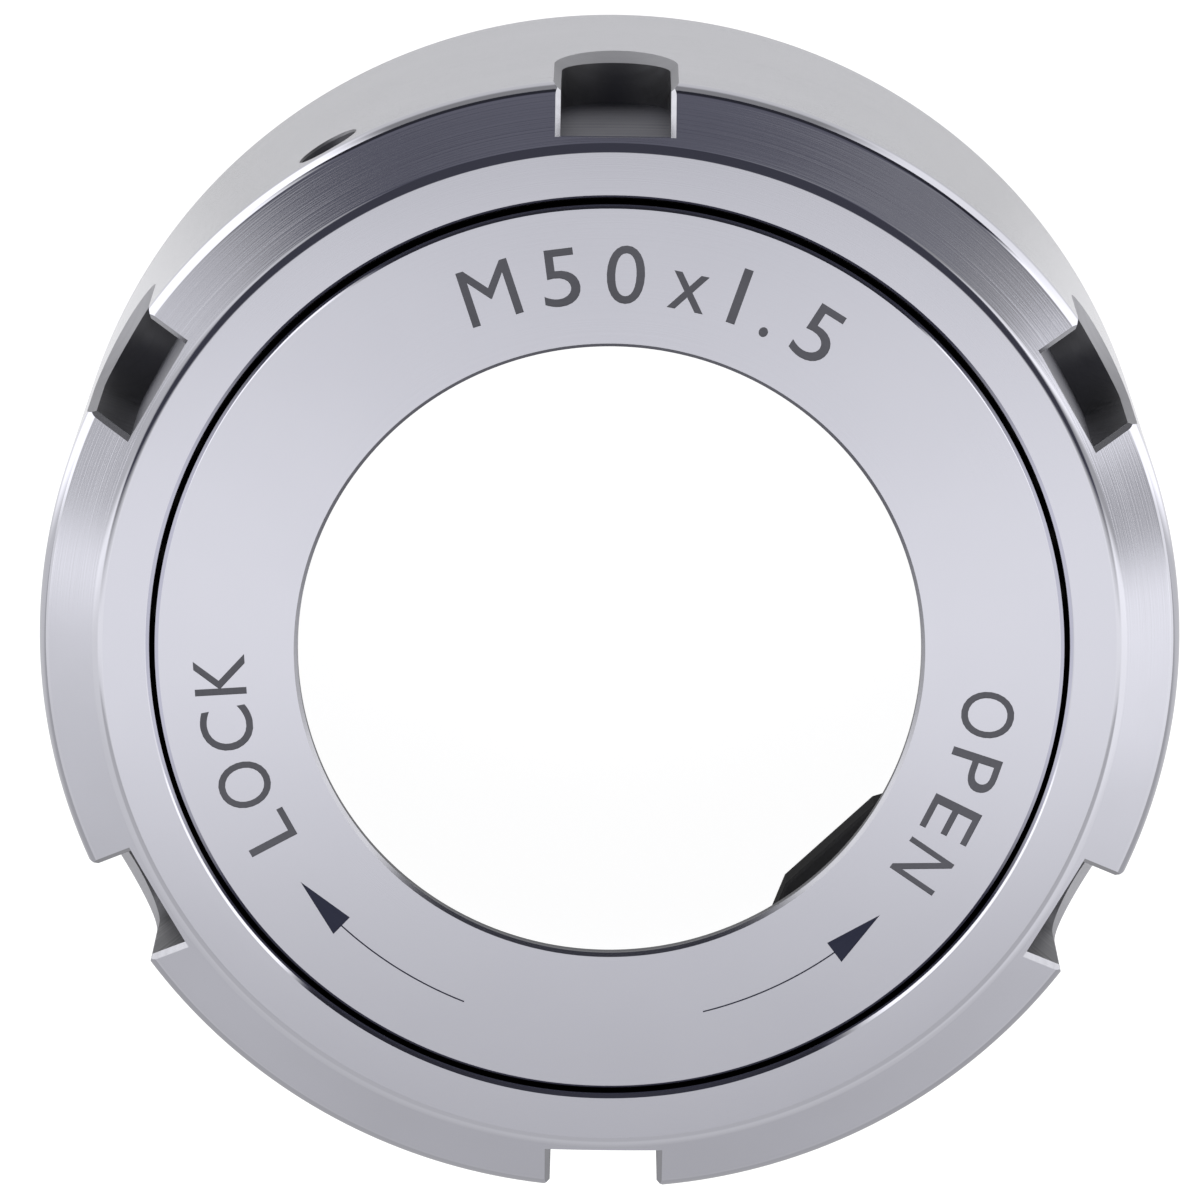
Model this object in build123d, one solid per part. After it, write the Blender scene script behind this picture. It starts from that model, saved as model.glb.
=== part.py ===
"""Ball-bearing collet nut: a spanner nut with a clamp ring that turns inside it on a full row of balls.

Frame: +Z runs along the nut's axis, from the threaded rear end at z = 0 to the marked front face.
The origin is the centre of the rear face. All lengths are in millimetres and all angles in degrees.
"""

from build123d import *
import os
from math import asin, cos, degrees, radians, sin, sqrt, tan

# Space for the collet inside the clamp ring
collet_rim_diameter = 41.0
collet_rim_clearance = 0.25
collet_groove_diameter = 36.2
front_bore_diameter = 34.3
front_lip_height = 0.8
seat_half_angle = 30.0
rim_space_height = 2.05

# Clamp ring
ring_wall = 4.25
ring_rear_lip = 1.2
ring_front_break = 0.3
ring_rear_break = 0.4
bore_edge_break = 0.2

# Extractor key, a half-moon plate pressed in a seat cut with a disc cutter
key_angle = 313.6
key_thickness = 2.2
key_groove_clearance = 0.15
key_flat_width = 6.75
key_bevel_angle = 25.4
key_disc_diameter = 15.5
key_outer_wall = 2.0
key_edge_break = 0.15

# Ball race, half in the ring and half in the nut
ball_diameter = 3.175
race_clearance = 0.0325
race_depth_from_front = 4.65
ball_spacing = 0.04

# Gap between ring and nut
ring_gap = 0.3
ring_rear_gap = 0.4

# Thread for the spindle nose, kept here as its plain minor bore
thread_pitch = 1.5
thread_runout = 0.3
thread_entry_rise = 0.3

# Nut body
nut_height = 25.5
wall_behind_race = 1.88
land_width = 2.87
land_edge_radius = 1.15
body_bore_break = 0.25
cone_depth = 1.95
cone_edge_radius = 1.15
rear_chamfer = 0.6

# Spanner slots, open at the front and round at their rear end
slot_count = 6
slot_first_angle = 90.0
slot_width = 6.0
slot_depth = 2.85
slot_length = 11.5
slot_side_break = 0.45
slot_cone_break = 0.3
slot_floor_break = 0.25

# Radial hole for loading the balls, and the pin that plugs it
hole_angle = 120.0
hole_over_ball = 0.225
hole_mouth_break = 0.15
plug_ball_clearance = 0.1
plug_recess = 0.5
plug_edge_break = 0.2

# How far a cutter starts outside the metal that it cuts
cutter_overrun = 1.0

# A primitive that stands on its own origin
standing = (Align.CENTER, Align.CENTER, Align.MIN)

# Radii that follow, from the collet outwards
front_bore_radius = front_bore_diameter / 2
cavity_radius = collet_rim_diameter / 2 + collet_rim_clearance
ring_radius = cavity_radius + ring_wall
body_bore_radius = ring_radius + ring_gap
thread_major_radius = body_bore_radius - thread_runout
thread_height = 5 / 8 * thread_pitch * sqrt(3) / 2
thread_minor_radius = thread_major_radius - thread_height
ball_radius = ball_diameter / 2
pitch_radius = (ring_radius + body_bore_radius) / 2
groove_radius = ball_radius + race_clearance
hole_radius = (ball_diameter + hole_over_ball) / 2
slot_floor_radius = pitch_radius + groove_radius + wall_behind_race
body_radius = slot_floor_radius + slot_depth
land_radius = body_bore_radius + land_width

# Heights that follow, from the front face to the rear face
seat_cone_height = (cavity_radius - front_bore_radius) / tan(radians(seat_half_angle))
ring_length = ring_rear_lip + key_thickness + rim_space_height + seat_cone_height + front_lip_height
front = nut_height
ring_rear = front - ring_length
thread_length = ring_rear - ring_rear_gap
key_bottom = ring_rear + ring_rear_lip
race_height = front - race_depth_from_front
cone_start = front - cone_depth


def turned(points, rounded=None):
    """Turns an outline of (radius, height) points round the nut's axis, some of its corners rounded first."""
    section = make_face(Polyline(*points, close=True))
    for corner, edge_radius in (rounded or {}).items():
        vertex = section.vertices().sort_by_distance(Vector(*corner))[0]
        section = fillet(vertex, edge_radius)
    return revolve(Plane.XZ * section, Axis.Z)


def broken_corner(before, corner, after, length):
    """The two points that replace a sharp corner when its edge is broken by this length on both sides."""
    result = []
    for neighbour in (before, after):
        step_r = neighbour[0] - corner[0]
        step_z = neighbour[1] - corner[1]
        share = length / sqrt(step_r**2 + step_z**2)
        result.append((corner[0] + share * step_r, corner[1] + share * step_z))
    return result


def race():
    """The round groove that the balls run in, as one ring of material to cut away."""
    return Pos(0, 0, race_height) * Torus(pitch_radius, groove_radius)


def radial(angle):
    """A frame at this angle round the nut: its y axis points outwards and its z axis to the front."""
    return Rot(0, 0, angle - 90)


def slot_outline(offset_height):
    """The slot seen from outside, on a plane that lies this far from the axis."""
    half_width = slot_width / 2
    round_centre = front - slot_length + half_width
    open_end = front + cutter_overrun
    straight = Pos(0, (open_end + round_centre) / 2) * Rectangle(slot_width, open_end - round_centre)
    outline = straight + Pos(0, round_centre) * Circle(half_width)
    outward = Plane(origin=(0, offset_height, 0), x_dir=(-1, 0, 0), z_dir=(0, 1, 0))
    return outward * outline


def cone_height_at(radius):
    """Height of the front cone's surface at this radius."""
    return front - cone_depth * (radius - land_radius) / (body_radius - land_radius)


def slot_corner():
    """A frame on the edge of a slot's side wall and the front cone: z runs down the cone, y stands off it."""
    half_width = slot_width / 2
    wall_foot_radius = sqrt(slot_floor_radius**2 + half_width**2)
    wall_top_y = sqrt(body_radius**2 - half_width**2)
    start = Vector(0, slot_floor_radius, cone_height_at(wall_foot_radius))
    end = Vector(0, wall_top_y, cone_start)
    return Plane(origin=start, x_dir=(-1, 0, 0), z_dir=end - start)


def slot_cutter():
    """All that one slot takes from the body, at the +Y side, with its broken edges."""
    half_width = slot_width / 2
    reach = body_radius + cutter_overrun
    slot = extrude(slot_outline(slot_floor_radius), reach - slot_floor_radius)

    # The chamfer round the slot on the cylinder, cut to one depth as by a pointed mill
    flare_start = sqrt(body_radius**2 - half_width**2) - slot_side_break
    flare = extrude(slot_outline(flare_start), reach - flare_start, taper=-45)

    # The broken edges that run down the cone at both side walls
    widest = half_width + slot_cone_break + cutter_overrun
    section = Polyline(
        (-half_width, -slot_cone_break),
        (half_width, -slot_cone_break),
        (widest, cutter_overrun),
        (-widest, cutter_overrun),
        close=True,
    )
    down_the_cone = (body_radius - land_radius) * 2
    side_breaks = extrude(slot_corner() * make_face(section), down_the_cone)
    above_floor = Pos(0, slot_floor_radius, front) * Box(
        body_radius,
        body_radius,
        body_radius,
        align=(Align.CENTER, Align.MIN, Align.CENTER),
    )
    side_breaks = side_breaks & above_floor

    # The broken edge where the floor meets the cone
    up_the_cone = (land_radius, front)
    corner = (slot_floor_radius, cone_height_at(slot_floor_radius))
    down_the_floor = (slot_floor_radius, 0)
    outside = (corner[0] + cutter_overrun, corner[1] + cutter_overrun)
    broken = broken_corner(up_the_cone, corner, down_the_floor, slot_floor_break)
    wedge = make_face(Polyline(*broken, outside, close=True))
    floor_break = extrude(Plane.YZ * wedge, half_width, both=True)
    return slot + flare + side_breaks + floor_break


def hole_frame(distance):
    """A frame on the loading hole's axis at this distance from the nut's axis, z outwards."""
    return radial(hole_angle) * Pos(0, distance, race_height) * Rot(-90, 0, 0)


def loading_hole():
    """The radial hole through the nut's wall into the race, with its broken mouth."""
    drill = Cylinder(hole_radius, body_radius + cutter_overrun - ring_radius, align=standing)
    rise = hole_mouth_break + cutter_overrun
    mouth = Cone(hole_radius, hole_radius + rise, rise, align=standing)
    return hole_frame(ring_radius) * drill + hole_frame(body_radius - hole_mouth_break) * mouth


def nut_body():
    """The outer nut: one turned and milled piece of steel."""
    cone_foot = (body_radius, cone_start)
    cone_top = (land_radius, front)
    entry_radius = thread_major_radius + thread_entry_rise
    points = [
        (entry_radius, 0),
        (body_radius - rear_chamfer, 0),
        (body_radius, rear_chamfer),
        cone_foot,
        cone_top,
        (body_bore_radius + body_bore_break, front),
        (body_bore_radius, front - body_bore_break),
        (body_bore_radius, thread_length),
        (thread_major_radius, thread_length),
        (thread_minor_radius, thread_length - thread_height),
        (thread_minor_radius, entry_radius - thread_minor_radius),
    ]
    body = turned(points, {cone_foot: cone_edge_radius, cone_top: land_edge_radius})
    body -= race()
    one_slot = slot_cutter()
    for index in range(slot_count):
        body -= radial(slot_first_angle + index * 360 / slot_count) * one_slot
    return body - loading_hole()


def key_disc():
    """The half-moon disc of the key and of its seat, as wide as the cutter that makes the seat."""
    centre = ring_radius - key_outer_wall - key_disc_diameter / 2
    disc = Cylinder(key_disc_diameter / 2, key_thickness, align=standing)
    return radial(key_angle) * Pos(0, centre, key_bottom) * disc


def clamp_ring():
    """The ring that presses the collet: seat cone, rim space, key seat and the inner half of the race."""
    cone_top = front - front_lip_height
    points = [
        (cavity_radius + ring_rear_break, ring_rear),
        (ring_radius - ring_rear_break, ring_rear),
        (ring_radius, ring_rear + ring_rear_break),
        (ring_radius, front - ring_front_break),
        (ring_radius - ring_front_break, front),
        (front_bore_radius + bore_edge_break, front),
        (front_bore_radius, front - bore_edge_break),
        (front_bore_radius, cone_top),
        (cavity_radius, cone_top - seat_cone_height),
        (cavity_radius, ring_rear + ring_rear_break),
    ]
    return turned(points) - race() - key_disc()


def extractor_key():
    """The key: the disc's outer part, with a flat and two bevels towards the collet's groove."""
    flat_distance = collet_groove_diameter / 2 + key_groove_clearance
    half_flat = key_flat_width / 2
    bevel = key_disc_diameter
    bevel_out = bevel * sin(radians(key_bevel_angle))
    bevel_across = bevel * cos(radians(key_bevel_angle))
    kept = Polyline(
        (-half_flat, flat_distance),
        (half_flat, flat_distance),
        (half_flat + bevel_across, flat_distance + bevel_out),
        (half_flat + bevel_across, flat_distance + bevel_out + key_disc_diameter),
        (-half_flat - bevel_across, flat_distance + bevel_out + key_disc_diameter),
        (-half_flat - bevel_across, flat_distance + bevel_out),
        close=True,
    )
    prism = Pos(0, 0, key_bottom) * extrude(make_face(kept), key_thickness)
    key = key_disc() & (radial(key_angle) * prism)
    inner_faces = key.faces().filter_by(GeomType.PLANE).filter_by(Axis.Z, reverse=True)
    inner_edges = [edge for face in inner_faces for edge in face.edges().filter_by(Plane.XY)]
    return chamfer(inner_edges, key_edge_break)


def loading_plug():
    """The pin that closes the loading hole, a little below the nut's surface and clear of the balls."""
    inner_end = pitch_radius + ball_radius + plug_ball_clearance
    outer_end = body_radius - plug_recess
    pin = Cylinder(hole_radius, outer_end - inner_end, align=standing)
    pin = chamfer(pin.edges().group_by(Axis.Z)[-1], plug_edge_break)
    return hole_frame(inner_end) * pin


def ball_angles():
    """Angles of a full row of balls, spread evenly round the race."""
    step = 2 * degrees(asin((ball_radius + ball_spacing / 2) / pitch_radius))
    count = int(360 / step)
    return [index * 360 / count for index in range(count)]


pieces = {
    "nut_body": nut_body(),
    "clamp_ring": clamp_ring(),
    "extractor_key": extractor_key(),
    "loading_plug": loading_plug(),
}
for number, angle in enumerate(ball_angles(), start=1):
    pieces[f"ball_{number:02d}"] = radial(angle) * Pos(0, pitch_radius, race_height) * Sphere(ball_radius)

os.makedirs("parts", exist_ok=True)
for name, piece in pieces.items():
    piece.label = name
    export_step(piece, f"parts/{name}.step")

print("balls", len(ball_angles()))
print("outer diameter", round(2 * body_radius, 3), "height", round(front, 3))
print("thread", round(2 * thread_major_radius, 3), "minor", round(2 * thread_minor_radius, 3))
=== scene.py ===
# %% [markdown]
# A ball-bearing collet nut
#
# This nut closes a spring collet on a tool spindle. It is a slotted steel nut with a fine thread at the
# rear. Inside its front a flat ring turns on a full row of balls, so that the ring presses the collet
# without twisting it. A black half-moon key in the ring pulls the collet out again when the nut is
# undone.
#
# The solids arrive from the frame at their true size. This lesson models the nut and the ring again with
# a finer surface, cuts the thread and the marks, and gives every piece its finish.

# %% Load the frame
from math import acos, atan2, cos, degrees, hypot, pi, radians, sin, sqrt, tan

import bmesh
import bpy
from mathutils import Matrix, Vector


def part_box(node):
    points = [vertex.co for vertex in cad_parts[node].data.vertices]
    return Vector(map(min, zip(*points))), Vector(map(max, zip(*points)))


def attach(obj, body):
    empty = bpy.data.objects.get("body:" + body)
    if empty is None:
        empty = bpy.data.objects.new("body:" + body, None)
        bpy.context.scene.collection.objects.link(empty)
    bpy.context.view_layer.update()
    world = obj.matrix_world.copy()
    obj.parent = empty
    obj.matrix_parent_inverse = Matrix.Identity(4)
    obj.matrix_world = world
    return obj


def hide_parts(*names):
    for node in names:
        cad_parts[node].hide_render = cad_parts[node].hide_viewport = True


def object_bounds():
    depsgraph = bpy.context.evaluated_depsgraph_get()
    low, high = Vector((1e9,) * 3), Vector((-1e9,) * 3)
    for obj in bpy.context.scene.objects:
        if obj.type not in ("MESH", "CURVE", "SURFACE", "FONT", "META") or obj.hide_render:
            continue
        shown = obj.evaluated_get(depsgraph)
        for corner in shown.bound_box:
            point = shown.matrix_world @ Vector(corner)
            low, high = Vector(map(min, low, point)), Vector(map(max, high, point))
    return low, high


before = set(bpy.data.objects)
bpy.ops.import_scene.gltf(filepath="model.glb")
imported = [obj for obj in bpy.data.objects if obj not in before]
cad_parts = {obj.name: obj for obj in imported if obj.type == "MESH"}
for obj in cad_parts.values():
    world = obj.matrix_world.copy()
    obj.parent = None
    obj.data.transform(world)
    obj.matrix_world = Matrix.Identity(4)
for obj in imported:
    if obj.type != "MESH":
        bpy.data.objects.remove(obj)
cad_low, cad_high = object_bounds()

MM = 0.001
print("the object is", [round(side / MM, 2) for side in cad_high - cad_low], "mm")

# %% [markdown]
# The camera
#
# The nut stands on its rear face, with its axis along Z. The photograph looks down on the front face from
# about 14 degrees off the axis, with a long lens. A long lens shows the far edge of the nut almost as
# large as the near one, so the distance and the focal length have to be right together. The place of the
# camera was found from the circles in the photograph: the bore, the ring, the gap and both ends of the
# outer surface. A constraint could aim the camera, but a matrix of three directions says exactly where it
# looks.

# %% Camera
PHOTO_SIDE = 1200
FOCAL_LENGTH_IN_PIXELS = 7546
SENSOR_WIDTH = 36.0
CAMERA_FROM_FRONT = (-0.612, 98.566, 402.721)
AIM_FROM_FRONT = (-0.553, 3.000, 0)
ROLL = 0.65
NEAREST_SEEN = 0.01

front_centre = Vector((0, 0, cad_high.z))
camera_place = Vector(CAMERA_FROM_FRONT) * MM + front_centre
camera_aim = Vector(AIM_FROM_FRONT) * MM + front_centre
picture_up = Vector((-sin(radians(ROLL)), cos(radians(ROLL)), 0))

forward = (camera_aim - camera_place).normalized()
to_the_right = forward.cross(picture_up).normalized()
upward = to_the_right.cross(forward)

camera_data = bpy.data.cameras.new("camera")
camera_data.sensor_width = SENSOR_WIDTH
camera_data.lens = SENSOR_WIDTH * FOCAL_LENGTH_IN_PIXELS / PHOTO_SIDE
camera_data.clip_start = NEAREST_SEEN
camera = bpy.data.objects.new("camera", camera_data)
bpy.context.scene.collection.objects.link(camera)
turn = Matrix((to_the_right, upward, -forward)).transposed().to_4x4()
camera.matrix_world = Matrix.Translation(camera_place) @ turn
bpy.context.scene.camera = camera
distance = (camera_place - camera_aim).length / MM
print("lens", round(camera_data.lens, 1), "mm, distance", round(distance), "mm")

# %% [markdown]
# Node helpers
#
# A shader is a tree of nodes. A few short helpers keep the trees readable: they set or link an input, add
# a math node in a single line, mix two colours, and measure a place on a piece.


# %% Node helpers
def feed(tree, value, socket):
    """Gives a socket a plain value, or links another node's output to it."""
    if isinstance(value, bpy.types.NodeSocket):
        tree.links.new(value, socket)
    else:
        socket.default_value = value


def maths(tree, operation, *values):
    """Adds a math node and returns its output."""
    node = tree.nodes.new("ShaderNodeMath")
    node.operation = operation
    for value, socket in zip(values, node.inputs):
        feed(tree, value, socket)
    return node.outputs[0]


def ramp(tree, value, low, high, to_low=0.0, to_high=1.0, kind="SMOOTHSTEP"):
    """Maps a range of values onto another range, smoothly or evenly, and returns the output."""
    node = tree.nodes.new("ShaderNodeMapRange")
    node.interpolation_type = kind
    for socket, number in zip(node.inputs, (value, low, high, to_low, to_high)):
        feed(tree, number, socket)
    return node.outputs[0]


def mixed_colour(tree, factor, first, second):
    """Mixes two colours, from the first at 0 to the second at 1, and returns the output."""
    node = tree.nodes.new("ShaderNodeMix")
    node.data_type = "RGBA"
    feed(tree, factor, node.inputs["Factor"])
    node.inputs["A"].default_value = (*first, 1)
    node.inputs["B"].default_value = (*second, 1)
    return node.outputs["Result"]


def coordinates(tree, kind):
    """The texture coordinates of this kind."""
    return tree.nodes.new("ShaderNodeTexCoord").outputs[kind]


def three_numbers(tree, vector):
    """Splits a vector into its X, Y and Z."""
    parts = tree.nodes.new("ShaderNodeSeparateXYZ")
    feed(tree, vector, parts.inputs[0])
    return parts.outputs[:]


def distance_from_axis(tree, x, y):
    """How far a place is from the Z axis."""
    square_x = maths(tree, "POWER", x, 2.0)
    square_y = maths(tree, "POWER", y, 2.0)
    return maths(tree, "SQRT", maths(tree, "ADD", square_x, square_y))


print("node helpers ready, in Blender", bpy.app.version_string)

# %% [markdown]
# The floor
#
# The photograph's background is pure white. Making it white with strong lamps would burn out the steel,
# so the floor gives out most of its white itself, to the rays that see it, and keeps a share of plain
# diffuse white that still takes the nut's shadow.
#
# Mirror rays see only the glow, and they see it by place, because a steel nut shows the floor round it.
# In this lesson the near side is the bottom of the picture, at -Y, and the far side is its top, at +Y.
# The floor is dim in the bore, bright under the slots, grey round the nut's foot, dark further out on the
# far side, and bright there on the left and right, under the ends of the light boxes.


# %% Rays
def for_each_ray(tree, seen, mirrored, other):
    """One value for camera and glass rays, one for mirror rays and one for the rest."""
    path = tree.nodes.new("ShaderNodeLightPath")
    is_seen = maths(tree, "MAXIMUM", path.outputs["Is Camera Ray"], path.outputs["Is Transmission Ray"])
    value = ramp(tree, path.outputs["Is Glossy Ray"], 0, 1, other, mirrored)
    return ramp(tree, is_seen, 0, 1, value, seen)

# %% The floor's glow
GLOW_IN_BORE = 0.25
GLOW_UNDER_SLOTS = 1.30
GLOW_NEAR = 0.45
GLOW_BESIDE = 0.66
GLOW_AT_SIDES = 0.92
GLOW_BEHIND = 0.28
GLOW_LEFT = 1.50
GLOW_RIGHT = 1.02
GLOW_FAR_RIGHT = 1.50

# Distances from the axis over which one glow passes into the next
BORE_FLOOR = (22 * MM, 30 * MM)
FLOOR_UNDER_SLOTS = (33.5 * MM, 36 * MM)
FOOT_OF_THE_NUT = (46 * MM, 64 * MM)
BEHIND_THE_NUT = (58 * MM, 85 * MM)

# The same along Y on the near side
NEAR_FLOOR = (-40 * MM, -10 * MM)

# The same as shares of the distance, sideways and towards the far side
FLOOR_AT_SIDES = (0.70, 0.95)
LEFT_FLOOR = (-0.61, -0.45)
RIGHT_FLOOR = (0.40, 0.60)
FAR_RIGHT_FLOOR = (0.75, 0.92)
FAR_FLOOR = (0.0, 0.18)


def glow_on_far_side(tree, radius, sideways):
    """Grey at the nut's foot, then dark in the middle and bright on the left and right."""
    beside = ramp(tree, maths(tree, "ABSOLUTE", sideways), *FLOOR_AT_SIDES, GLOW_BESIDE, GLOW_AT_SIDES)
    behind = ramp(tree, radius, *BEHIND_THE_NUT, beside, GLOW_BEHIND)
    with_left = ramp(tree, sideways, *LEFT_FLOOR, GLOW_LEFT, behind)
    with_right = ramp(tree, sideways, *RIGHT_FLOOR, with_left, GLOW_RIGHT)
    with_far_right = ramp(tree, sideways, *FAR_RIGHT_FLOOR, with_right, GLOW_FAR_RIGHT)
    return ramp(tree, radius, *FOOT_OF_THE_NUT, beside, with_far_right)


def glow_by_place(tree):
    """What mirrors see of the floor, by its place round the nut."""
    x, y = three_numbers(tree, coordinates(tree, "Object"))[:2]
    radius = distance_from_axis(tree, x, y)
    far_side = glow_on_far_side(tree, radius, maths(tree, "DIVIDE", x, radius))
    in_front = ramp(tree, y, *NEAR_FLOOR, GLOW_NEAR, GLOW_BESIDE)
    near_side = ramp(tree, radius, *FLOOR_UNDER_SLOTS, GLOW_UNDER_SLOTS, in_front)
    around_the_nut = ramp(tree, maths(tree, "DIVIDE", y, radius), *FAR_FLOOR, near_side, far_side)
    return ramp(tree, radius, *BORE_FLOOR, GLOW_IN_BORE, around_the_nut)


print("the floor's glow goes from", GLOW_IN_BORE, "to", GLOW_FAR_RIGHT)

# %% Floor
FLOOR_RADIUS = 2.0
FLOOR_SEGMENTS = 96
FLOOR_DROP = 0.05
FLOOR_GLOW = 0.94
FLOOR_PAINT = 0.25


def floor_material():
    """White paint that also glows to the rays that see it."""
    material = bpy.data.materials.new("floor_white")
    material.use_nodes = True
    tree = material.node_tree
    tree.nodes.remove(tree.nodes["Principled BSDF"])
    paint = tree.nodes.new("ShaderNodeBsdfDiffuse")
    feed(tree, for_each_ray(tree, FLOOR_PAINT, 0.0, FLOOR_PAINT), paint.inputs["Color"])
    glow = tree.nodes.new("ShaderNodeEmission")
    feed(tree, for_each_ray(tree, FLOOR_GLOW, glow_by_place(tree), 0.0), glow.inputs["Strength"])
    both = tree.nodes.new("ShaderNodeAddShader")
    feed(tree, paint.outputs[0], both.inputs[0])
    feed(tree, glow.outputs[0], both.inputs[1])
    feed(tree, both.outputs[0], tree.nodes["Material Output"].inputs["Surface"])
    return material


def new_piece(name, form, *materials):
    """Turns a bmesh into an object with these materials, and frees the bmesh."""
    mesh = bpy.data.meshes.new(name)
    form.to_mesh(mesh)
    form.free()
    for material in materials:
        mesh.materials.append(material)
    piece = bpy.data.objects.new(name, mesh)
    bpy.context.scene.collection.objects.link(piece)
    return piece


floor_form = bmesh.new()
bmesh.ops.create_circle(floor_form, cap_ends=True, radius=FLOOR_RADIUS, segments=FLOOR_SEGMENTS)
bmesh.ops.translate(floor_form, verts=floor_form.verts, vec=(0, 0, cad_low.z - FLOOR_DROP * MM))
floor = new_piece("floor", floor_form, floor_material())
print("floor", FLOOR_RADIUS, "m in radius")

# %% [markdown]
# The studio round the nut
#
# Bright metal shows its surroundings more than its own colour, and in an all-white room it would look
# like white paper. A photographer hangs long light boxes over such a piece, from left to right, with dark
# cards between them. Cards and boxes could be real objects, but their edges would draw lines on the cone.
# Here they are painted on the world, with soft edges, by the direction in which a mirror ray leaves. The
# camera sees a white world, and diffuse surfaces get an even grey light.
#
# The paint has three zones. Overhead, one narrow bright box crosses a grey ceiling a little to the near
# side, and beyond it the ceiling is almost black: the flat faces mirror this zone. Halfway up and low
# down the left and right have strips of their own, which the cone and the broken edges mirror. The dark
# cards are navy, not black, because the shadows in the photographed steel are blue.

# %% The studio's strips
# Each pair is a place, from the near side at -1 to the far side at 1, and how bright the studio is there
LEFT_NEAR = ((-1.00, 0.53), (-0.75, 0.61), (-0.40, 0.72))
RIGHT_NEAR = ((-1.00, 0.53), (-0.75, 0.64), (-0.50, 0.85))
LEFT_LOW = (
    *LEFT_NEAR, (-0.24, 0.84), (-0.05, 0.84), (0.08, 1.42), (0.64, 1.42), (0.80, 0.03), (1.00, 0.03),
)
RIGHT_LOW = (
    *RIGHT_NEAR, (-0.30, 1.00), (0.02, 1.00), (0.09, 1.42), (0.54, 1.42), (0.64, 0.03), (1.00, 0.03),
)
LEFT_HALFWAY = (
    *LEFT_NEAR, (-0.24, 0.82), (-0.10, 1.15), (0.03, 0.58), (0.20, 0.58), (0.33, 0.80), (0.45, 0.56),
    (0.62, 0.09), (0.70, 0.15), (1.00, 0.15),
)
RIGHT_HALFWAY = (
    *RIGHT_NEAR, (-0.30, 1.05), (-0.13, 1.17), (-0.02, 0.45), (0.05, 0.45), (0.21, 1.25), (0.30, 0.95),
    (0.40, 0.35), (0.58, 0.20), (0.66, 0.26), (0.73, 0.13), (1.00, 0.13),
)
OVERHEAD = (
    (-1.00, 0.58), (-0.60, 0.55), (-0.42, 0.55), (-0.33, 0.54), (-0.29, 0.50), (-0.265, 0.87), (-0.24, 0.98),
    (-0.21, 1.01), (-0.18, 0.83), (-0.14, 0.58), (-0.10, 0.30), (-0.06, 0.06), (1.00, 0.06),
)

# A colour ramp holds at most 1, so the levels are divided by this and multiplied again behind it
STUDIO_PEAK = 1.45


def strip_of_studio(tree, away, levels):
    """A strip of the studio's brightness, from the near side at -1 to the far side at 1."""
    node = tree.nodes.new("ShaderNodeValToRGB")
    node.color_ramp.interpolation = "EASE"
    feed(tree, ramp(tree, away, -1, 1, kind="LINEAR"), node.inputs[0])
    stops = node.color_ramp.elements
    stops_at_first = len(stops)
    for number, (place, level) in enumerate(levels):
        stop = stops[number] if number < stops_at_first else stops.new(1.0)
        stop.position = (place + 1) / 2
        shade = level / STUDIO_PEAK
        stop.color = (shade, shade, shade, 1)
    return maths(tree, "MULTIPLY", node.outputs["Color"], STUDIO_PEAK)


print("brightest place in the studio", max(level for place, level in LEFT_LOW + RIGHT_LOW))

# %% World
WORLD_SEEN = 1.0
WORLD_LIGHT = 0.62
SIDES_MEET = 0.3
LOW_ENDS = 0.26
HALFWAY_STARTS = 0.40
OVERHEAD_START = 0.68
OVERHEAD_START_AT_SIDES = 0.80
OVERHEAD_BLEND = 0.10
OVERHEAD_SIDES = (0.30, 0.60)
NAVY = (0.90, 0.91, 1.18)
WHITE = (1, 1, 1)
NAVY_BELOW = 0.03
WHITE_ABOVE = 0.35


def painted_studio(tree):
    """Brightness of the world by direction: low, halfway up and overhead."""
    sideways, away, up = three_numbers(tree, coordinates(tree, "Generated"))

    def both_sides(left, right):
        strips = [strip_of_studio(tree, away, levels) for levels in (left, right)]
        return ramp(tree, sideways, -SIDES_MEET, SIDES_MEET, *strips)

    low = both_sides(LEFT_LOW, RIGHT_LOW)
    halfway = both_sides(LEFT_HALFWAY, RIGHT_HALFWAY)
    overhead = strip_of_studio(tree, away, OVERHEAD)
    round_about = ramp(tree, up, LOW_ENDS, HALFWAY_STARTS, low, halfway)
    to_a_side = maths(tree, "ABSOLUTE", sideways)
    start = ramp(tree, to_a_side, *OVERHEAD_SIDES, OVERHEAD_START, OVERHEAD_START_AT_SIDES)
    end = maths(tree, "ADD", start, OVERHEAD_BLEND)
    return ramp(tree, up, start, end, round_about, overhead)


def make_world():
    """White to the camera, painted to mirrors, grey light elsewhere. The dark cards are navy."""
    world = bpy.data.worlds.new("studio")
    bpy.context.scene.world = world
    world.use_nodes = True
    tree = world.node_tree
    background = tree.nodes["Background"]
    level = for_each_ray(tree, WORLD_SEEN, painted_studio(tree), WORLD_LIGHT)
    colour = mixed_colour(tree, ramp(tree, level, NAVY_BELOW, WHITE_ABOVE), NAVY, WHITE)
    feed(tree, colour, background.inputs["Color"])
    feed(tree, level, background.inputs["Strength"])


make_world()
bpy.context.scene.view_settings.view_transform = "Standard"
print("world nodes", len(bpy.context.scene.world.node_tree.nodes))

# %% [markdown]
# Lamps
#
# Three soft lamps light what is not a mirror: the floor, the blackened key and the marks. They stay out
# of the mirror rays, where the painted light boxes already stand for them. A world light alone could do
# it, but it gives no direction. Distances and sizes of the lamps are in metres, their power is in watts.

# %% Lamps
LAMP_DISTANCE = 0.7


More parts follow.
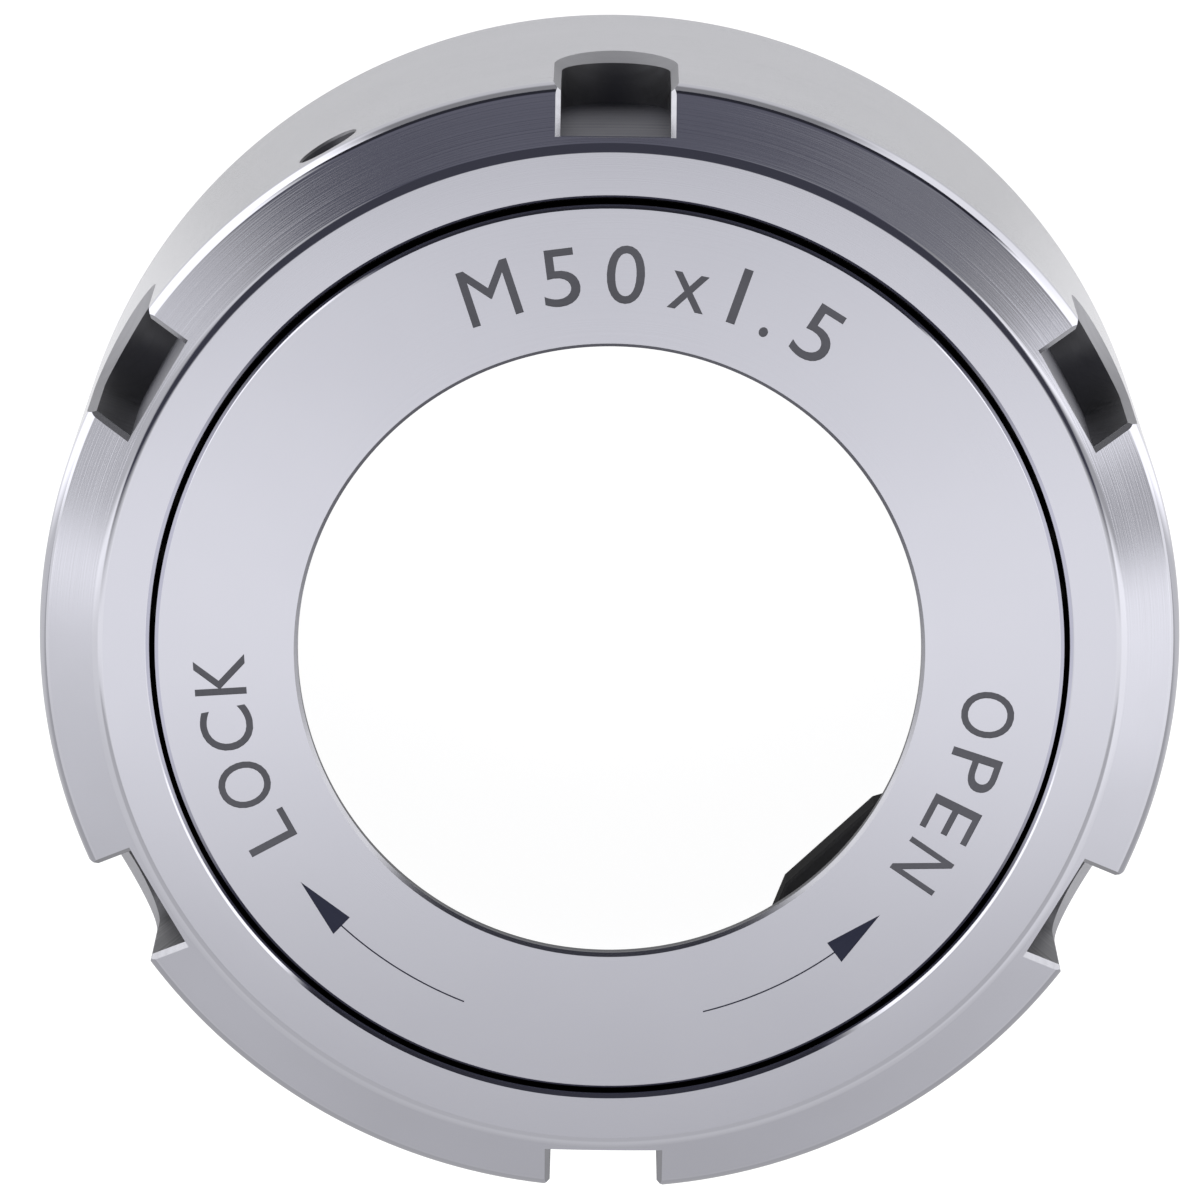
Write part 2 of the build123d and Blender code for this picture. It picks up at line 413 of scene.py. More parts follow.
def soft_lamp(name, turn_angle, tilt_angle, width, height, power):
    """A softbox that points at the nut, turned from +X about Z and tilted away from Z, in degrees."""
    lamp_data = bpy.data.lights.new(name, "AREA")
    lamp_data.shape = "RECTANGLE"
    lamp_data.size = width
    lamp_data.size_y = height
    lamp_data.energy = power
    lamp = bpy.data.objects.new(name, lamp_data)
    bpy.context.scene.collection.objects.link(lamp)
    lamp.visible_glossy = False
    flat = LAMP_DISTANCE * sin(radians(tilt_angle))
    place = Vector((
        flat * cos(radians(turn_angle)),
        flat * sin(radians(turn_angle)),
        LAMP_DISTANCE * cos(radians(tilt_angle)),
    ))
    lamp.matrix_world = Matrix.Translation(place) @ place.to_track_quat("Z", "Y").to_matrix().to_4x4()


soft_lamp("lamp_over", turn_angle=-90, tilt_angle=25, width=0.5, height=0.5, power=1.6)
soft_lamp("lamp_left", turn_angle=180, tilt_angle=62, width=0.4, height=0.5, power=1.0)
soft_lamp("lamp_right", turn_angle=0, tilt_angle=62, width=0.4, height=0.5, power=1.0)
print("lamps", len(bpy.data.lights))

# %% [markdown]
# Turning marks and grain
#
# A lathe leaves fine rings on steel: circles on a flat face, bands round a cylinder. They could be a
# picture wrapped round the piece, but a picture has a seam and one fixed size. Here a shader works out
# their height. On every turned surface either the radius or the height changes along the tool's path, so
# one number, the radius minus the height, counts the grooves on faces, cones and cylinders alike. A noise
# in one dimension makes them uneven, and a little drift keeps them from being perfect circles.
#
# A second effect is the fine grain that grinding, blasting and blackening leave, with soft clouds in the
# shade. Every steel here uses both, so each is a node group with named inputs.


# %% Helpers for node groups
def new_group(name, inputs, outputs):
    """An empty shader group with number inputs and outputs. Returns the group and its two end nodes."""
    group = bpy.data.node_groups.new(name, "ShaderNodeTree")
    for label, value in inputs.items():
        socket = group.interface.new_socket(label, in_out="INPUT", socket_type="NodeSocketFloat")
        socket.default_value = value
    for label in outputs:
        group.interface.new_socket(label, in_out="OUTPUT", socket_type="NodeSocketFloat")
    return group, group.nodes.new("NodeGroupInput"), group.nodes.new("NodeGroupOutput")


def noise(tree, dimensions, scale, detail, coordinate):
    """Adds a noise texture and returns its value."""
    node = tree.nodes.new("ShaderNodeTexNoise")
    node.noise_dimensions = dimensions
    feed(tree, scale, node.inputs["Scale"])
    node.inputs["Detail"].default_value = detail
    feed(tree, coordinate, node.inputs["W" if dimensions == "1D" else "Vector"])
    return node.outputs[0]


# %% Node groups
WANDER = 0.3
DRIFTS_PER_METRE = 90.0
DRIFT_DETAIL = 2.0
GROOVE_DETAIL = 4.0
CLOUDS_PER_METRE = 140.0
GRAIN_DETAIL = 3.0


def turning_group():
    """Height of the grooves that a lathe tool leaves round the Z axis."""
    group, given, result = new_group("turning_marks", {"Grooves per mm": 8.0, "Wander": WANDER}, ["Height"])
    place = coordinates(group, "Object")
    x, y, z = three_numbers(group, place)
    along_the_tool = maths(group, "SUBTRACT", distance_from_axis(group, x, y), z)
    in_mm = maths(group, "DIVIDE", along_the_tool, MM)
    count = maths(group, "MULTIPLY", in_mm, given.outputs["Grooves per mm"])
    drift = noise(group, "3D", DRIFTS_PER_METRE, DRIFT_DETAIL, place)
    drift = maths(group, "MULTIPLY", drift, given.outputs["Wander"])
    grooves = noise(group, "1D", 1.0, GROOVE_DETAIL, maths(group, "ADD", count, drift))
    feed(group, grooves, result.inputs["Height"])
    return group


def grain_group():
    """Fine uneven grain, as on ground, blasted or blackened steel, and soft clouds."""
    group, given, result = new_group("fine_grain", {"Grains per mm": 6.0}, ["Height", "Cloud"])
    place = coordinates(group, "Object")
    scale = maths(group, "DIVIDE", given.outputs["Grains per mm"], MM)
    feed(group, noise(group, "3D", scale, GRAIN_DETAIL, place), result.inputs["Height"])
    feed(group, noise(group, "3D", CLOUDS_PER_METRE, GRAIN_DETAIL, place), result.inputs["Cloud"])
    return group


turning_marks = turning_group()
fine_grain = grain_group()
print("node groups", [group.name for group in bpy.data.node_groups])

# %% [markdown]
# Steel and its finishes
#
# All pieces are steel, and what differs is how each surface was made. The nut and the ring are hardened,
# turned or ground, and thinly plated, which gives a light grey with a breath of violet. One material with
# painted masks could show all of it, but a border between two tools' work is a sharp one. So each finish
# is a material of its own, and a function makes them all: two shades mixed by the clouds, a roughness
# that follows the grooves, and two bumps.

# %% Metal
DARKEST_NOISE = 0.3
LIGHTEST_NOISE = 0.7


def place_group(tree, group, **inputs):
    """Places a node group in a material with its own values."""
    node = tree.nodes.new("ShaderNodeGroup")
    node.node_tree = group
    for label, value in inputs.items():
        node.inputs[label.replace("_", " ")].default_value = value
    return node


def bump(tree, height, depth):
    """Adds a bump node of this depth in millimetres."""
    node = tree.nodes.new("ShaderNodeBump")
    feed(tree, height, node.inputs["Height"])
    node.inputs["Distance"].default_value = depth * MM
    return node


def metal(name, light, dark, roughness, spread, grooves_per_mm, groove_depth, grain_depth, wander=WANDER):
    """Steel between two shades, with turning marks and a fine grain. Depths are in millimetres."""
    material = bpy.data.materials.new(name)
    material.use_nodes = True
    tree = material.node_tree
    shader = tree.nodes["Principled BSDF"]
    shader.inputs["Metallic"].default_value = 1.0
    marks = place_group(tree, turning_marks, Grooves_per_mm=grooves_per_mm, Wander=wander)
    grooves = marks.outputs["Height"]
    grain = place_group(tree, fine_grain)
    cloud = ramp(tree, grain.outputs["Cloud"], DARKEST_NOISE, LIGHTEST_NOISE)
    feed(tree, mixed_colour(tree, cloud, dark, light), shader.inputs["Base Color"])
    rough = ramp(tree, grooves, DARKEST_NOISE, LIGHTEST_NOISE, roughness - spread, roughness + spread)
    feed(tree, rough, shader.inputs["Roughness"])
    fine = bump(tree, grain.outputs["Height"], grain_depth)
    turned_bump = bump(tree, grooves, groove_depth)
    feed(tree, fine.outputs[0], turned_bump.inputs["Normal"])
    feed(tree, turned_bump.outputs[0], shader.inputs["Normal"])
    return material


print("a noise counts as dark below", DARKEST_NOISE, "and as light above", LIGHTEST_NOISE)

# %% [markdown]
# Finishes of the turned and ground surfaces
#
# The cone shows its turning marks plainly. The ring's face is ground so finely that no groove shows: what
# is left is a highlight stretched across the marks. Many tiny grooves could do that too, but they would
# flicker, so the shader's anisotropy does it, with a tangent that runs round the axis.

# %% Finishes of nut and ring
STRETCH = 0.87
ACROSS_THE_MARKS = 0.25

nut_steel = metal(
    "nut_steel", light=(0.70, 0.70, 0.775), dark=(0.68, 0.68, 0.75),
    roughness=0.16, spread=0.04, grooves_per_mm=8.0, groove_depth=0.008, grain_depth=0.0003,
)
outside_steel = metal(
    "outside_steel", light=(0.70, 0.70, 0.765), dark=(0.68, 0.68, 0.745),
    roughness=0.16, spread=0.04, grooves_per_mm=8.0, groove_depth=0.008, grain_depth=0.0003,
)
ring_steel = metal(
    "ring_steel", light=(0.70, 0.70, 0.775), dark=(0.69, 0.69, 0.765),
    roughness=0.104, spread=0.006, grooves_per_mm=16.0, groove_depth=0.0003, grain_depth=0.0001,
)
polished_steel = metal(
    "polished_steel", light=(0.72, 0.72, 0.79), dark=(0.71, 0.71, 0.78),
    roughness=0.06, spread=0.01, grooves_per_mm=12.0, groove_depth=0.0005, grain_depth=0.0001,
)
edge_steel = metal(
    "edge_steel", light=(0.54, 0.54, 0.58), dark=(0.50, 0.50, 0.54),
    roughness=0.24, spread=0.03, grooves_per_mm=2.0, groove_depth=0.0005, grain_depth=0.0005, wander=3.0,
)
# Painted shade: the walls of the narrow gap between nut and ring are coloured near-black, for the shade that
# falls deep in the gap
gap_painted_shade = metal(
    "gap_painted_shade", light=(0.07, 0.065, 0.06), dark=(0.045, 0.042, 0.04),
    roughness=0.35, spread=0.05, grooves_per_mm=8.0, groove_depth=0.001, grain_depth=0.001,
)

ring_shader = ring_steel.node_tree.nodes["Principled BSDF"]
ring_shader.inputs["Anisotropic"].default_value = STRETCH
ring_shader.inputs["Anisotropic Rotation"].default_value = ACROSS_THE_MARKS
round_the_axis = ring_steel.node_tree.nodes.new("ShaderNodeTangent")
round_the_axis.direction_type = "RADIAL"
round_the_axis.axis = "Z"
feed(ring_steel.node_tree, round_the_axis.outputs[0], ring_shader.inputs["Tangent"])
print("materials", len(bpy.data.materials))

# %% [markdown]
# Finishes of slots, marks, key, plug and balls
#
# The slots were milled and are rougher, and their insides are coloured much darker than the turned steel,
# the floor a little lighter than the walls.
# Their broken edges are matt: part of their light comes from a plain diffuse surface, which a Metallic value
# below one gives. The words were burnt grey with a laser and the arrows blue. The key is blackened, so an
# oxide and not bare metal meets the light.
# The balls get a painted shade: they are coloured near-black, for the shade deep in their groove, so that
# they do not glint through the gap.

# %% Other finishes
MATT_SHARE = 0.4
OXIDE_SHEEN = 0.2

flare_steel = metal(
    "flare_steel", light=(0.53, 0.53, 0.56), dark=(0.49, 0.49, 0.52),
    roughness=0.65, spread=0.04, grooves_per_mm=2.0, groove_depth=0.0005, grain_depth=0.0005, wander=3.0,
)
milled_steel = metal(
    "milled_steel", light=(0.22, 0.22, 0.235), dark=(0.17, 0.17, 0.18),
    roughness=0.50, spread=0.06, grooves_per_mm=2.0, groove_depth=0.004, grain_depth=0.002, wander=3.0,
)
slot_floor_steel = metal(
    "slot_floor_steel", light=(0.24, 0.24, 0.27), dark=(0.20, 0.20, 0.23),
    roughness=0.50, spread=0.06, grooves_per_mm=2.0, groove_depth=0.002, grain_depth=0.002,
)
laser_grey = metal(
    "laser_grey", light=(0.22, 0.22, 0.25), dark=(0.19, 0.19, 0.215),
    roughness=0.42, spread=0.04, grooves_per_mm=8.0, groove_depth=0.001, grain_depth=0.001,
)
laser_blue = metal(
    "laser_blue", light=(0.062, 0.066, 0.105), dark=(0.05, 0.054, 0.09),
    roughness=0.40, spread=0.04, grooves_per_mm=8.0, groove_depth=0.001, grain_depth=0.001,
)
key_black = metal(
    "key_black", light=(0.042, 0.042, 0.043), dark=(0.035, 0.035, 0.036),
    roughness=0.60, spread=0.05, grooves_per_mm=3.0, groove_depth=0.001, grain_depth=0.003, wander=3.0,
)
plug_steel = metal(
    "plug_steel", light=(0.75, 0.75, 0.79), dark=(0.66, 0.66, 0.70),
    roughness=0.40, spread=0.05, grooves_per_mm=4.0, groove_depth=0.002, grain_depth=0.002, wander=3.0,
)
# Painted shade: bright bearing balls coloured near-black for the shade in their groove
ball_steel = metal(
    "ball_steel", light=(0.05, 0.048, 0.045), dark=(0.03, 0.029, 0.027),
    roughness=0.45, spread=0.02, grooves_per_mm=1.0, groove_depth=0.0, grain_depth=0.0,
)

flare_steel.node_tree.nodes["Principled BSDF"].inputs["Metallic"].default_value = MATT_SHARE
key_shader = key_black.node_tree.nodes["Principled BSDF"]
key_shader.inputs["Metallic"].default_value = 0.0
key_shader.inputs["Specular IOR Level"].default_value = OXIDE_SHEEN
print("materials", len(bpy.data.materials))

# %% [markdown]
# Turned pieces
#
# Everything round on this nut came off a lathe, so the way to model it is the lathe's own: draw half of
# the section once and spin it about the axis. Sharp edges are then broken with a small bevel on the
# circles that the drawing names. A bevel modifier would find them by their angle and take others with
# them.

# %% Turning
STEPS_ROUND = 288
TOLERANCE = 0.002 * MM
SAME_PLACE = TOLERANCE / 10

# The slot of polished_steel in the nut and in the ring
POLISHED = 1


def outline(form, points):
    """A closed outline of (radius, height) points in millimetres, drawn in the XZ plane."""
    corners = [form.verts.new((radius * MM, 0, height * MM)) for radius, height in points]
    edges = [form.edges.new(pair) for pair in zip(corners, corners[1:] + corners[:1])]
    return corners + edges


def turned(points):
    """Spins an outline round the nut's axis into a closed body."""
    form = bmesh.new()
    drawn = outline(form, points)
    bmesh.ops.spin(
        form, geom=drawn, cent=(0, 0, 0), axis=(0, 0, 1), dvec=(0, 0, 0),
        angle=2 * pi, steps=STEPS_ROUND, use_merge=True,
    )
    bmesh.ops.remove_doubles(form, verts=form.verts, dist=SAME_PLACE)
    bmesh.ops.recalc_face_normals(form, faces=form.faces)
    return form


def at_radius(vert, radius):
    """Says whether a vertex lies this far from the axis, in millimetres."""
    return abs(hypot(vert.co.x, vert.co.y) - radius * MM) < TOLERANCE


def break_edge(form, radius, height, width, segments=1, finish=POLISHED):
    """Breaks the circular edge at this radius and height, all in millimetres, and gives it this finish."""
    circle = [
        edge for edge in form.edges
        if all(at_radius(vert, radius) and abs(vert.co.z - height * MM) < TOLERANCE for vert in edge.verts)
    ]
    made = bmesh.ops.bevel(
        form, geom=circle, offset=width * MM, offset_type="OFFSET", segments=segments,
        profile=0.5, affect="EDGES", material=-1,
    )
    for face in made["faces"]:
        face.material_index = finish


def mark_wall(form, radius, finish):
    """Gives the upright wall at this radius, in millimetres, this finish."""
    for face in form.faces:
        if all(at_radius(vert, radius) for vert in face.verts):
            face.material_index = finish


print("a full turn has", STEPS_ROUND, "steps of", 360 / STEPS_ROUND, "degrees")

# %% [markdown]
# Cutting and shading
#
# A boolean cuts what a mill or a drill cuts, and the cut faces take the cutter's material, which keeps
# the milled slots apart from the turned skin. At the end a piece is shaded smooth up to its sharp edges.
# Plain smooth shading would drag dark smears from the small broken edges over the large faces, so the
# normals are weighted by the size of the faces.

# %% Cutting and shading
SHARP_ANGLE = radians(32)
LEAD_OF_LARGE_FACES = 80


def applied(piece):
    """Makes the result of a piece's modifiers its own mesh."""
    graph = bpy.context.evaluated_depsgraph_get()
    mesh = bpy.data.meshes.new_from_object(piece.evaluated_get(graph))
    piece.modifiers.clear()
    piece.data = mesh


def cut(piece, cutter):
    """Takes the cutter's shape out of the piece. The cut faces keep the cutter's material."""
    modifier = piece.modifiers.new("cut", "BOOLEAN")
    modifier.operation = "DIFFERENCE"
    modifier.solver = "EXACT"
    modifier.material_mode = "TRANSFER"
    modifier.object = cutter
    applied(piece)
    bpy.data.objects.remove(cutter)
    print(piece.name, "has", len(piece.data.polygons), "faces")


def smooth(piece):
    """Shades a piece smooth up to its sharp edges, led by its larger faces."""
    form = bmesh.new()
    form.from_mesh(piece.data)
    bmesh.ops.remove_doubles(form, verts=form.verts, dist=SAME_PLACE)
    for face in form.faces:
        face.smooth = True
    for edge in form.edges:
        edge.smooth = len(edge.link_faces) == 2 and edge.calc_face_angle(pi) < SHARP_ANGLE
    form.to_mesh(piece.data)
    form.free()
    modifier = piece.modifiers.new("shading", "WEIGHTED_NORMAL")
    modifier.mode = "FACE_AREA"
    modifier.weight = LEAD_OF_LARGE_FACES
    modifier.keep_sharp = True
    applied(piece)


print("edges stay sharp from", round(degrees(SHARP_ANGLE)), "degrees")

# %% [markdown]
# The nut's section
#
# From the rear: a chamfer leads into the thread's bore, then a relief where the thread ends, the plain
# bore for the ring with the rounded ball groove, the flat front land, and the cone down to the outer
# surface. It could be a cylinder with all of this cut into it, but the spin gives it at once, and the
# sizes stay together.
#
# All sizes are in millimetres. A place round the axis is an angle in degrees from +X, turning towards +Y.

# %% Sizes of the nut
RING_GAP = 0.3
RING_REAR_GAP = 0.4
THREAD_RUNOUT = 0.3
THREAD_PITCH = 1.5
SHARE_OF_FULL_THREAD = 5 / 8
LAND_WIDTH = 2.87
BALL_RADIUS = 3.175 / 2
RACE_CLEARANCE = 0.0325
RACE_DEPTH = 4.65
ARC_STEPS = 16

body_radius = cad_high.x / MM
body_height = cad_high.z / MM
ring_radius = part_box("clamp_ring")[1].x / MM
ring_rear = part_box("clamp_ring")[0].z / MM
bore_radius = ring_radius + RING_GAP
land_radius = bore_radius + LAND_WIDTH
thread_length = ring_rear - RING_REAR_GAP
thread_major = bore_radius - THREAD_RUNOUT
thread_height = SHARE_OF_FULL_THREAD * THREAD_PITCH * sqrt(3) / 2
thread_minor = thread_major - thread_height
pitch_radius = (ring_radius + bore_radius) / 2
race_radius = BALL_RADIUS + RACE_CLEARANCE
race_height = body_height - RACE_DEPTH


def race_arc(wall_radius, side):
    """The ball groove's arc in a wall, from its upper to its lower edge. Side is 1 outside, -1 inside."""
    half = acos(abs(wall_radius - pitch_radius) / race_radius)
    angles = [half - 2 * half * step / ARC_STEPS for step in range(ARC_STEPS + 1)]
    return [
        (pitch_radius + side * race_radius * cos(angle), race_height + race_radius * sin(angle))
        for angle in angles
    ]


print("bore", round(bore_radius, 2), "mm")
print("thread from", round(thread_minor, 3), "to", round(thread_major, 3), "mm")

# %% Nut body, turned
CONE_DEPTH = 1.95
EDGE_RADIUS = 1.15
CONE_ROUND_SEGMENTS = 8
LAND_ROUND_SEGMENTS = 6
REAR_CHAMFER = 0.6
BORE_BREAK = 0.24
THREAD_ENTRY_RISE = 0.3

# Material slots of the nut, after nut_steel and polished_steel
LAND = 2
OUTSIDE = 3
NUT_GAP_SHADE = 4

entry_radius = thread_major + THREAD_ENTRY_RISE
cone_foot = body_height - CONE_DEPTH
nut_form = turned([
    (entry_radius, 0),
    (body_radius, 0),
    (body_radius, cone_foot),
    (land_radius, body_height),
    (bore_radius, body_height),
    *race_arc(bore_radius, 1),
    (bore_radius, thread_length),
    (thread_major, thread_length),
    (thread_minor, thread_length - thread_height),
    (thread_minor, entry_radius - thread_minor),
])
cone_angle = atan2(CONE_DEPTH, body_radius - land_radius)
land_round = EDGE_RADIUS * tan(cone_angle / 2)
cone_round = EDGE_RADIUS * tan((pi / 2 - cone_angle) / 2)
break_edge(nut_form, body_radius, 0, REAR_CHAMFER)
break_edge(nut_form, body_radius, cone_foot, cone_round, segments=CONE_ROUND_SEGMENTS)
break_edge(nut_form, land_radius, body_height, land_round, segments=LAND_ROUND_SEGMENTS)
break_edge(nut_form, bore_radius, body_height, BORE_BREAK)
for face in nut_form.faces:
    if face.calc_center_median().z > body_height * MM - TOLERANCE:
        face.material_index = LAND
mark_wall(nut_form, body_radius, OUTSIDE)
# The nut's wall at the gap takes the painted shade
mark_wall(nut_form, bore_radius, NUT_GAP_SHADE)
nut = new_piece("nut_body_turned", nut_form, nut_steel, polished_steel, ring_steel, outside_steel, gap_painted_shade)
print("turned nut", len(nut.data.polygons), "faces")

# %% [markdown]
# Spanner slots
#
# Each slot was milled with a round cutter pointing at the axis, so it has a flat floor and a half-round
# rear end. The cutter shape starts as a circle whose front half is pushed out past the nut. It is drawn
# out from the floor to the outside, and widened by its last step, which leaves the broken edge round the
# slot. An array could repeat the slot round the axis, but turned copies in one cutter need only one cut.

# %% Helpers for cutters
OVERRUN = 1.0
TO_FACE_OUT = Matrix.Rotation(-pi / 2, 4, "X")


def verts_of(parts):
    """The vertices among these parts of a mesh."""
    return [part for part in parts if isinstance(part, bmesh.types.BMVert)]


def other_verts(form, known):
    """The vertices of a form that are not in this set."""
    return [vert for vert in form.verts if vert not in known]


def upright_disc(form, radius, distance, height, segments, start_angle=0.0):
    """Adds a disc that faces +Y, this far from the axis and this high, and returns its face."""
    place = Matrix.Translation(Vector((0, distance, height)) * MM)
    made = bmesh.ops.create_circle(
        form, cap_ends=True, radius=radius * MM, segments=segments,
        matrix=place @ TO_FACE_OUT @ Matrix.Rotation(start_angle, 4, "Z"),
    )
    return made["verts"][0].link_faces[0]


def drawn_out(form, face, distance):
    """Extrudes a face along +Y by this many millimetres and returns the new face."""
    made = bmesh.ops.extrude_face_region(form, geom=[face, *face.edges])["geom"]
    bmesh.ops.translate(form, verts=verts_of(made), vec=(0, distance * MM, 0))
    return next(part for part in made if isinstance(part, bmesh.types.BMFace))


def flared_out(form, face, distance, half_width, height):
    """Extrudes a face along +Y while it widens at 45 degrees, from this half width and about this height."""
    end = drawn_out(form, face, distance)
    widen = (half_width + distance) / half_width
    centre = Matrix.Translation(Vector((0, 0, -height * MM)))
    bmesh.ops.scale(form, verts=end.verts, vec=(widen, 1, widen), space=centre)


def around(form, verts, angle):
    """Turns vertices from the +Y side to this angle round the nut."""
    bmesh.ops.rotate(form, verts=verts, cent=(0, 0, 0), matrix=Matrix.Rotation(radians(angle - 90), 3, "Z"))


print("cutters reach", OVERRUN, "mm past the surface")

# %% Slots
SLOT_COUNT = 6
FIRST_SLOT_ANGLE = 90
SLOT_WIDTH = 6.0
SLOT_DEPTH = 2.85
SLOT_LENGTH = 11.5
SLOT_SIDE_BREAK = 0.45
SLOT_SEGMENTS = 96

# Material slots of the cutter, after milled_steel
FLARE = 1
SLOT_FLOOR = 2

half_slot = SLOT_WIDTH / 2
floor_distance = body_radius - SLOT_DEPTH
side_edge_distance = sqrt(body_radius**2 - half_slot**2)
arc_height = body_height - SLOT_LENGTH + half_slot


def slot_cutter(form):
    """The slot at the +Y side, with the flare that breaks its edge on the outer surface."""
    disc = upright_disc(form, half_slot, floor_distance, arc_height, SLOT_SEGMENTS, pi / SLOT_SEGMENTS)
    front_half = [vert for vert in disc.verts if vert.co.z > arc_height * MM]
    bmesh.ops.translate(form, verts=front_half, vec=(0, 0, (SLOT_LENGTH - half_slot + OVERRUN) * MM))
    flare_start = side_edge_distance - SLOT_SIDE_BREAK
    face = drawn_out(form, disc, flare_start - floor_distance)
    milled = set(form.faces)
    flared_out(form, face, body_radius + OVERRUN - flare_start, half_slot, arc_height)
    for flare in set(form.faces) - milled:
        flare.material_index = FLARE
    for part in form.faces:
        if all(abs(vert.co.y - floor_distance * MM) < TOLERANCE for vert in part.verts):
            part.material_index = SLOT_FLOOR


def for_each_slot(make, *materials):
    """Makes one cutter out of six copies of what the given function models."""
    form = bmesh.new()
    for number in range(SLOT_COUNT):
        before = set(form.verts)
        make(form)
        around(form, other_verts(form, before), FIRST_SLOT_ANGLE + number * 360 / SLOT_COUNT)
    bmesh.ops.recalc_face_normals(form, faces=form.faces)
    return new_piece("cutter", form, *materials)


cut(nut, for_each_slot(slot_cutter, milled_steel, flare_steel, slot_floor_steel))

# %% [markdown]
# Broken edges on the cone
#
# On the cone the edges of a slot's side walls are broken too. A bevel would need those edges picked out
# of the boolean's result, so a second cutter takes them off: a bar with spreading sides that lies down
# the cone over the slot.

# %% Broken edges on the cone
SLOT_CONE_BREAK = 0.30
ACROSS = Vector((1, 0, 0))


def cone_height_at(radius):
    """Height of the cone's surface at this radius."""
    return body_height - CONE_DEPTH * (radius - land_radius) / (body_radius - land_radius)


def side_wedge(form):
    """A flared bar that lies down the cone over the slot and breaks the edges of both side walls."""
    start = Vector((0, floor_distance, cone_height_at(hypot(floor_distance, half_slot)))) * MM
    end = Vector((0, side_edge_distance, cone_height_at(body_radius))) * MM
    down = (end - start).normalized()
    outward = ACROSS.cross(down)
    lift = (OVERRUN - SLOT_CONE_BREAK) / 2 * MM
    length = (end - start).length + 2 * OVERRUN * MM
    middle = start + down * length / 2 + outward * lift
    along_the_cone = Matrix((ACROSS, down, outward)).transposed().to_4x4()
    verts = bmesh.ops.create_cube(form, size=1)["verts"]
    upper = [vert for vert in verts if vert.co.z > 0]
    bmesh.ops.scale(form, verts=verts, vec=(SLOT_WIDTH * MM, length, (OVERRUN + SLOT_CONE_BREAK) * MM))
    widen = (half_slot + SLOT_CONE_BREAK + OVERRUN) / half_slot
    bmesh.ops.scale(form, verts=upper, vec=(widen, 1, 1))
    bmesh.ops.transform(form, verts=verts, matrix=Matrix.Translation(middle) @ along_the_cone)


cut(nut, for_each_slot(side_wedge, edge_steel))

# %% [markdown]
# The loading hole
#
# The balls were put into their groove through a small hole from the outside, and a plug closes it. The
# hole's mouth shows on the outer surface between two slots. Its cutter is made as a slot's is, from a
# whole circle.

# %% Loading hole
HOLE_ANGLE = 120
HOLE_RADIUS = 1.7
HOLE_MOUTH_BREAK = 0.15
HOLE_SEGMENTS = 64


def hole_cutter():
    """A drill from the ball groove to the outside, widened at its mouth."""
    form = bmesh.new()
    disc = upright_disc(form, HOLE_RADIUS, ring_radius, race_height, HOLE_SEGMENTS)
    face = drawn_out(form, disc, body_radius - HOLE_MOUTH_BREAK - ring_radius)
    flared_out(form, face, HOLE_MOUTH_BREAK + OVERRUN, HOLE_RADIUS, race_height)
    around(form, form.verts, HOLE_ANGLE)
    bmesh.ops.recalc_face_normals(form, faces=form.faces)
    return new_piece("cutter", form, milled_steel)


cut(nut, hole_cutter())

# %% [markdown]
# The thread
#
# The fine thread has a pitch of 1.5 mm. A bump or a stack of rings could stand for it, but the meshes are
# used on their own as well, so it is really cut. Its cutter is the groove between two turns: a narrow
# trapezium that is wide towards the axis, spun many times while it climbs one pitch a turn. The spin
# operator does this with its dvec value, the step along the axis. The cutter starts below the rear face
# and ends in the free bore above, so the thread runs in and out as a real one does.

# %% Thread
THREAD_STEPS = 144
THREAD_INSIDE = 0.25
THREAD_FLANK = 30
CREST_SHARE = 1 / 8
PITCHES_BELOW_THE_REAR = 1.4
THREAD_OVERRUN = 0.6


def thread_cutter():
    """One long right-handed helical groove, as a closed solid."""
    form = bmesh.new()
    inner = thread_minor - THREAD_INSIDE
    half_at_major = THREAD_PITCH * CREST_SHARE / 2
    half_at_inner = half_at_major + (thread_major - inner) * tan(radians(THREAD_FLANK))
    start = -PITCHES_BELOW_THE_REAR * THREAD_PITCH
    drawn = outline(form, [
        (inner, start - half_at_inner),
        (thread_major, start - half_at_major),
        (thread_major, start + half_at_major),
        (inner, start + half_at_inner),
    ])
    face = form.faces.new(verts_of(drawn))
    turns = (thread_length + THREAD_OVERRUN - start) / THREAD_PITCH
    climb = (0, 0, THREAD_PITCH * MM / THREAD_STEPS)
    bmesh.ops.spin(
        form, geom=drawn + [face], cent=(0, 0, 0), axis=(0, 0, 1), dvec=climb,
        angle=2 * pi * turns, steps=round(THREAD_STEPS * turns), use_merge=False,
    )
    bmesh.ops.recalc_face_normals(form, faces=form.faces)
    return new_piece("cutter", form, nut_steel)


cut(nut, thread_cutter())
smooth(nut)
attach(nut, "nut")
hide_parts("nut_body")
print("threaded nut", len(nut.data.polygons), "faces")

# %% [markdown]
# The clamp ring
#
# The ring is turned in the same way: the wide space for the collet's rim, the seat cone at 30 degrees,
# the short lip of the front bore and the inner half of the ball groove. The frame's own ring could stay,
# but its coarser facets would show in the bright edge of the bore. The key's seat is cut with a disc, as
# on the machine.

# %% Clamp ring, turned
CAVITY_RADIUS = 20.75
FRONT_BORE_RADIUS = 17.15
FRONT_LIP = 0.8
SEAT_ANGLE = 30
RING_REAR_BREAK = 0.4
RING_FRONT_BREAK = 0.20
RING_BORE_BREAK = 0.20

# Material slots of the ring, after ring_steel and polished_steel
RING_GAP_SHADE = 2
BORE_EDGE = 3

